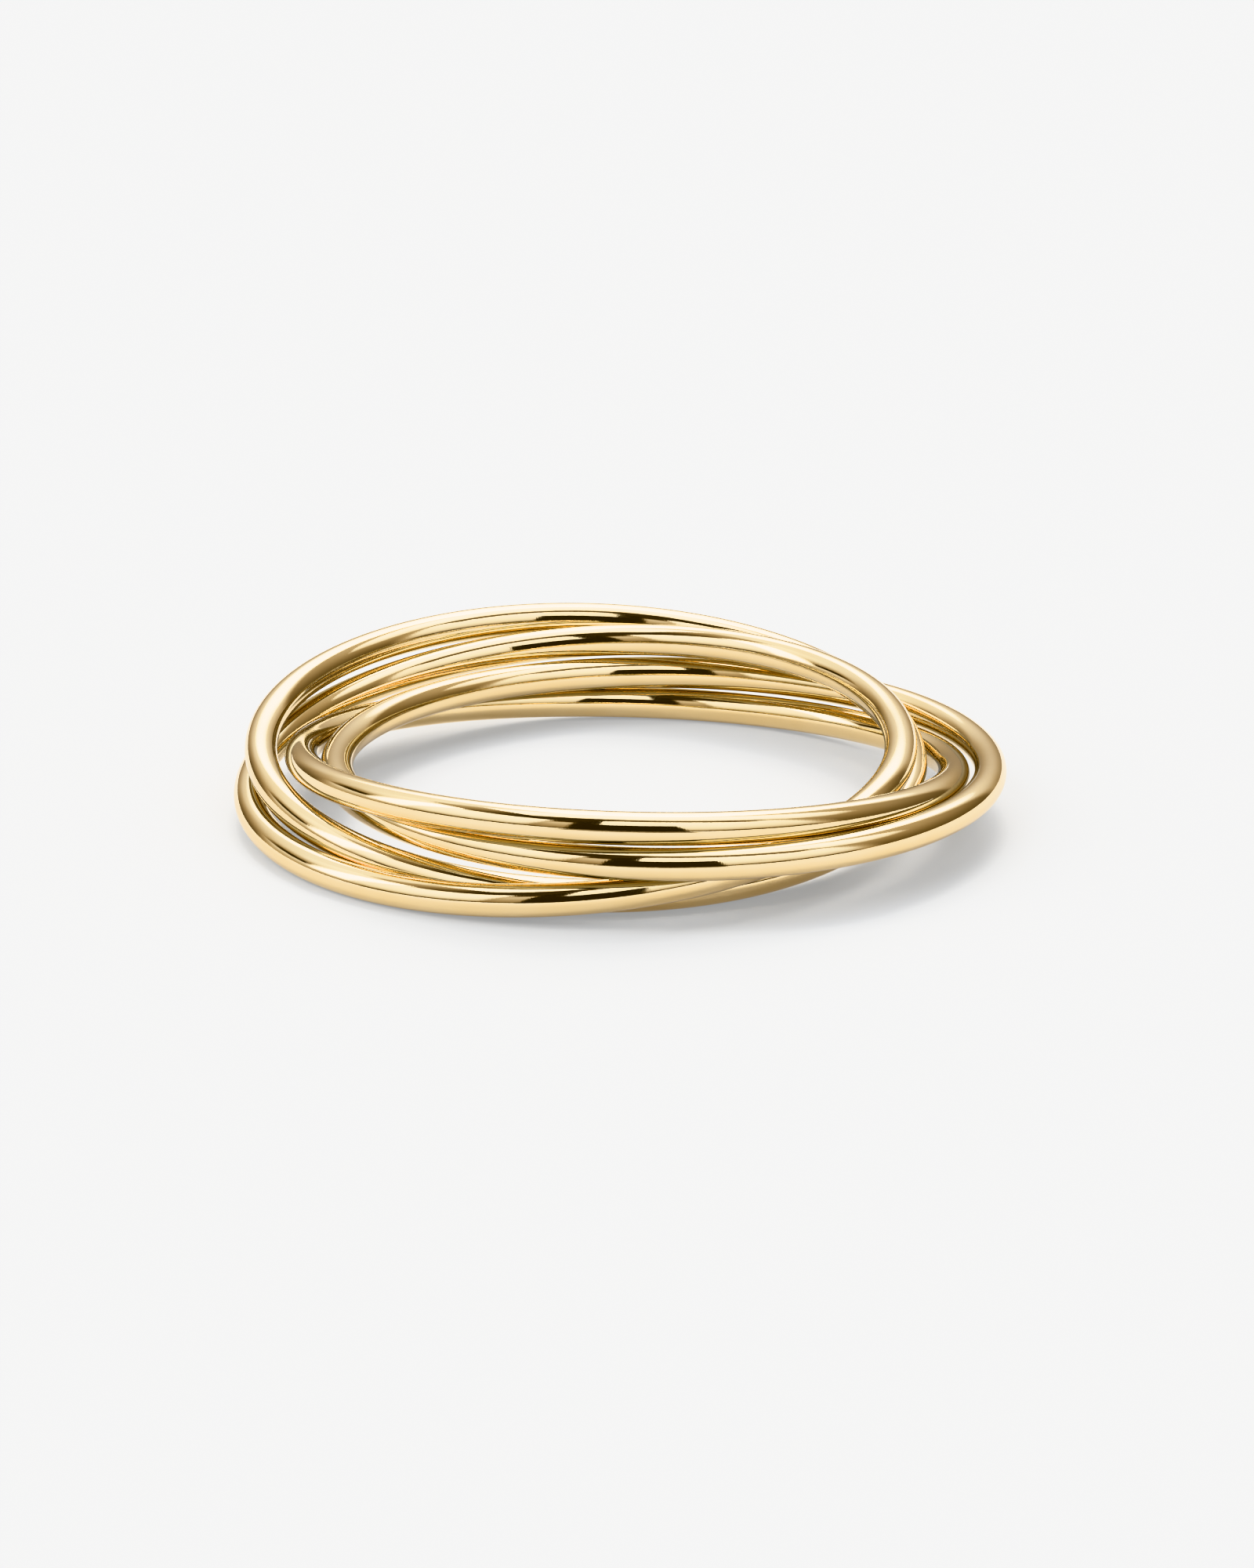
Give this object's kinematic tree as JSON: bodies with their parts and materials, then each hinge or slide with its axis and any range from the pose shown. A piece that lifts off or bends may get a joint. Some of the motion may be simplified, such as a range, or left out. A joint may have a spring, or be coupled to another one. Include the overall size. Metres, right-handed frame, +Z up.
{
  "type": "interlocking rolling ring",
  "caption": "Finger ring of plain round-wire bands linked through one another, lying fanned out, that roll over each other on the finger.",
  "frame": {"origin": "middle of the pile's base, on the surface that it lies on", "axes": "+Z up out of that surface, +X along the pile's longest way, with +Y towards the side where band_back stands highest"},
  "size_m": [0.0216, 0.0202, 0.0032],
  "materials": {
    "polished_gold": "warm yellow gold plating on brass, polished to a mirror, with fine polishing marks"
  },
  "bodies": {
    "band_back": {"band_back": "polished_gold"},
    "band_left": {"band_left": "polished_gold"},
    "band_right": {"band_right": "polished_gold"},
    "band_front": {"band_front": "polished_gold"}
  },
  "joints": [
    {"name": "band_left_spin", "type": "hinge", "parent": "band_back", "child": "band_left", "pos_m": [-0.00124, -0.00033, 0.00151], "axis": [-0.0782, -0.0854, 0.9933], "continuous": true},
    {"name": "band_right_spin", "type": "hinge", "parent": "band_back", "child": "band_right", "pos_m": [0.00122, -0.00051, 0.00158], "axis": [0.007, 0.0192, 0.9998], "continuous": true},
    {"name": "band_front_spin", "type": "hinge", "parent": "band_back", "child": "band_front", "pos_m": [0.00022, -0.00036, 0.00159], "axis": [0.0277, 0.1219, 0.9922], "continuous": true}
  ]
}
